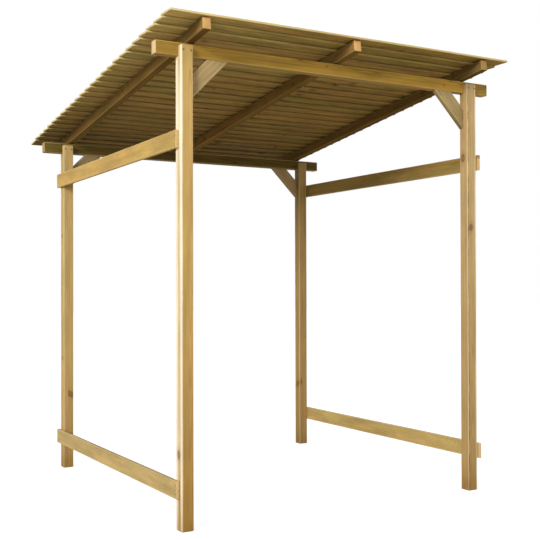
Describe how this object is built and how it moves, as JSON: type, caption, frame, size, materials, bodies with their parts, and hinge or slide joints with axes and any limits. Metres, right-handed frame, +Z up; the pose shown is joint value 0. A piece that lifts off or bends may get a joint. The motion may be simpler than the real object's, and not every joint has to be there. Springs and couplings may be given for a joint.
{
  "type": "log store",
  "caption": "Open-sided timber log store: notched posts, beams with knee braces, side rails, and a lapped board roof on rafters that falls to the rear.",
  "frame": {"origin": "on the ground, at the middle of the whole outline seen from above", "axes": "+X to the right seen from the open front, +Y from the high front to the low rear, +Z up"},
  "size_m": [1.798, 2.0208, 2.1],
  "materials": {
    "post_wood": "pressure-treated pine post, straight grain, eased arrises",
    "beam_wood": "pressure-treated pine beam, golden olive, knots",
    "brace_wood": "pressure-treated pine brace, pinkish tan, fine grain",
    "rail_wood": "sawn pressure-treated pine rail, golden tan",
    "rafter_wood": "pressure-treated pine rafter, olive brown",
    "board_wood": "thin sawn pressure-treated pine roof board, olive brown with knots"
  },
  "bodies": {
    "root": {"front_left_post": "post_wood", "front_right_post": "post_wood", "rear_left_post": "post_wood", "rear_right_post": "post_wood", "front_beam": "beam_wood", "rear_beam": "beam_wood", "front_left_brace": "brace_wood", "front_right_brace": "brace_wood", "rear_left_brace": "brace_wood", "rear_right_brace": "brace_wood", "left_upper_rail": "rail_wood", "left_lower_rail": "rail_wood", "right_upper_rail": "rail_wood", "right_lower_rail": "rail_wood", "left_rafter": "rafter_wood", "middle_rafter": "rafter_wood", "right_rafter": "rafter_wood", "roof_board_01": "board_wood", "roof_board_02": "board_wood", "roof_board_03": "board_wood", "roof_board_04": "board_wood", "roof_board_05": "board_wood", "roof_board_06": "board_wood", "roof_board_07": "board_wood", "roof_board_08": "board_wood", "roof_board_09": "board_wood", "roof_board_10": "board_wood", "roof_board_11": "board_wood", "roof_board_12": "board_wood", "roof_board_13": "board_wood", "roof_board_14": "board_wood", "roof_board_15": "board_wood", "roof_board_16": "board_wood", "roof_board_17": "board_wood", "roof_board_18": "board_wood", "roof_board_19": "board_wood", "roof_board_20": "board_wood", "roof_board_21": "board_wood", "roof_board_22": "board_wood", "roof_board_23": "board_wood", "roof_board_24": "board_wood", "roof_board_25": "board_wood"}
  },
  "joints": []
}
